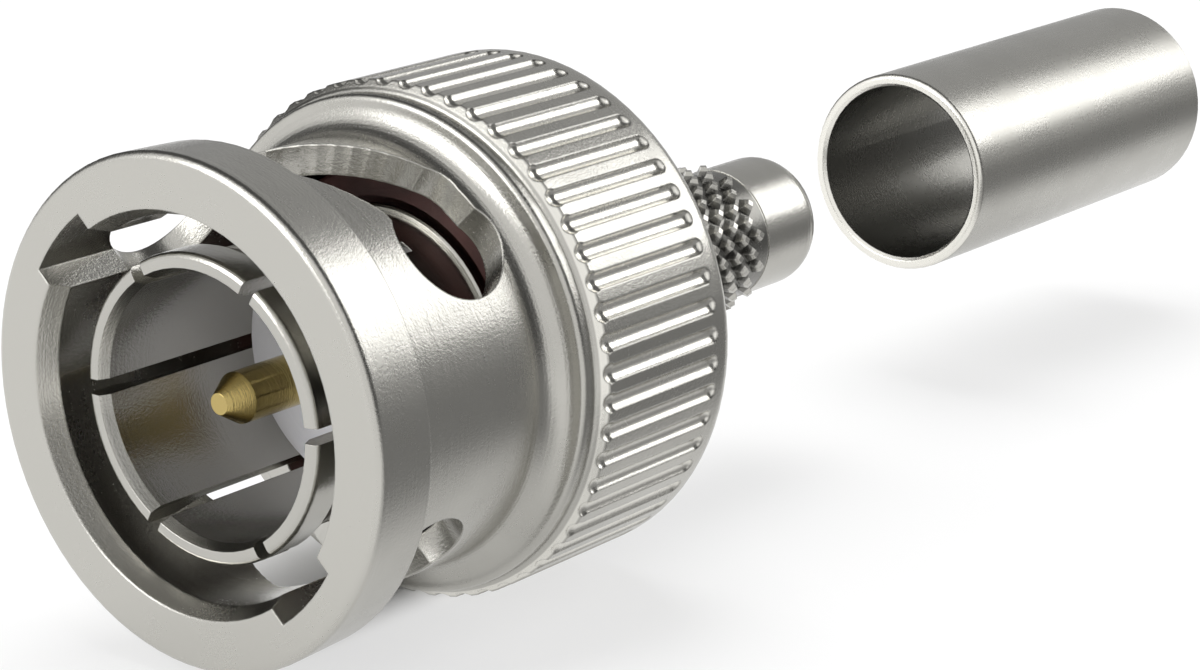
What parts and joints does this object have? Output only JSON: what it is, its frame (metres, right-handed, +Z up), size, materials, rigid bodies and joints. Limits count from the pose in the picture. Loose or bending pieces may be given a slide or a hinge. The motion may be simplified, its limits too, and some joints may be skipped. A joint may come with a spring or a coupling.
{
  "type": "bnc connector",
  "caption": "Straight male bayonet cable plug with a fluted turning nut, slotted outer contact, centre pin and crimp neck, with its crimp ferrule set apart behind.",
  "frame": {"origin": "where the centre pin leaves the face of the front insulator, on the axis of the connector", "axes": "+X along the axis towards the cable, -X out of the nose, +Z up as the connector lies, +Y to the side"},
  "size_m": [0.0455, 0.014, 0.014],
  "materials": {
    "nickel": "satin nickel plate over brass",
    "silicone": "dark red moulded silicone rubber",
    "insulation": "white turned fluoroplastic",
    "gold": "gold plate over brass",
    "spring_steel": "plain spring steel"
  },
  "bodies": {
    "plug": {"plug_body": "nickel", "outer_contact": "nickel", "gasket": "silicone", "front_insulator": "insulation", "rear_insulator": "insulation", "centre_pin": "gold", "spring_washer": "spring_steel", "retaining_ring": "spring_steel"},
    "float": {"thrust_washer": "spring_steel"},
    "nut": {"coupling_nut": "nickel"},
    "ferrule": {"crimp_ferrule": "nickel"}
  },
  "joints": [
    {"name": "nut_float", "type": "slide", "parent": "plug", "child": "float", "axis": [-1, 0, 0], "range_m": [0, 0.0004], "stiffness_N_per_m": 2000, "springref_m": -0.0002, "deforming": ["spring_washer"]},
    {"name": "nut_turn", "type": "hinge", "parent": "float", "child": "nut", "pos_m": [0, 0, 0], "axis": [1, 0, 0], "continuous": true},
    {"name": "ferrule_slide", "type": "slide", "parent": "plug", "child": "ferrule", "axis": [-1, 0, 0], "range_m": [0, 0.0162]}
  ]
}
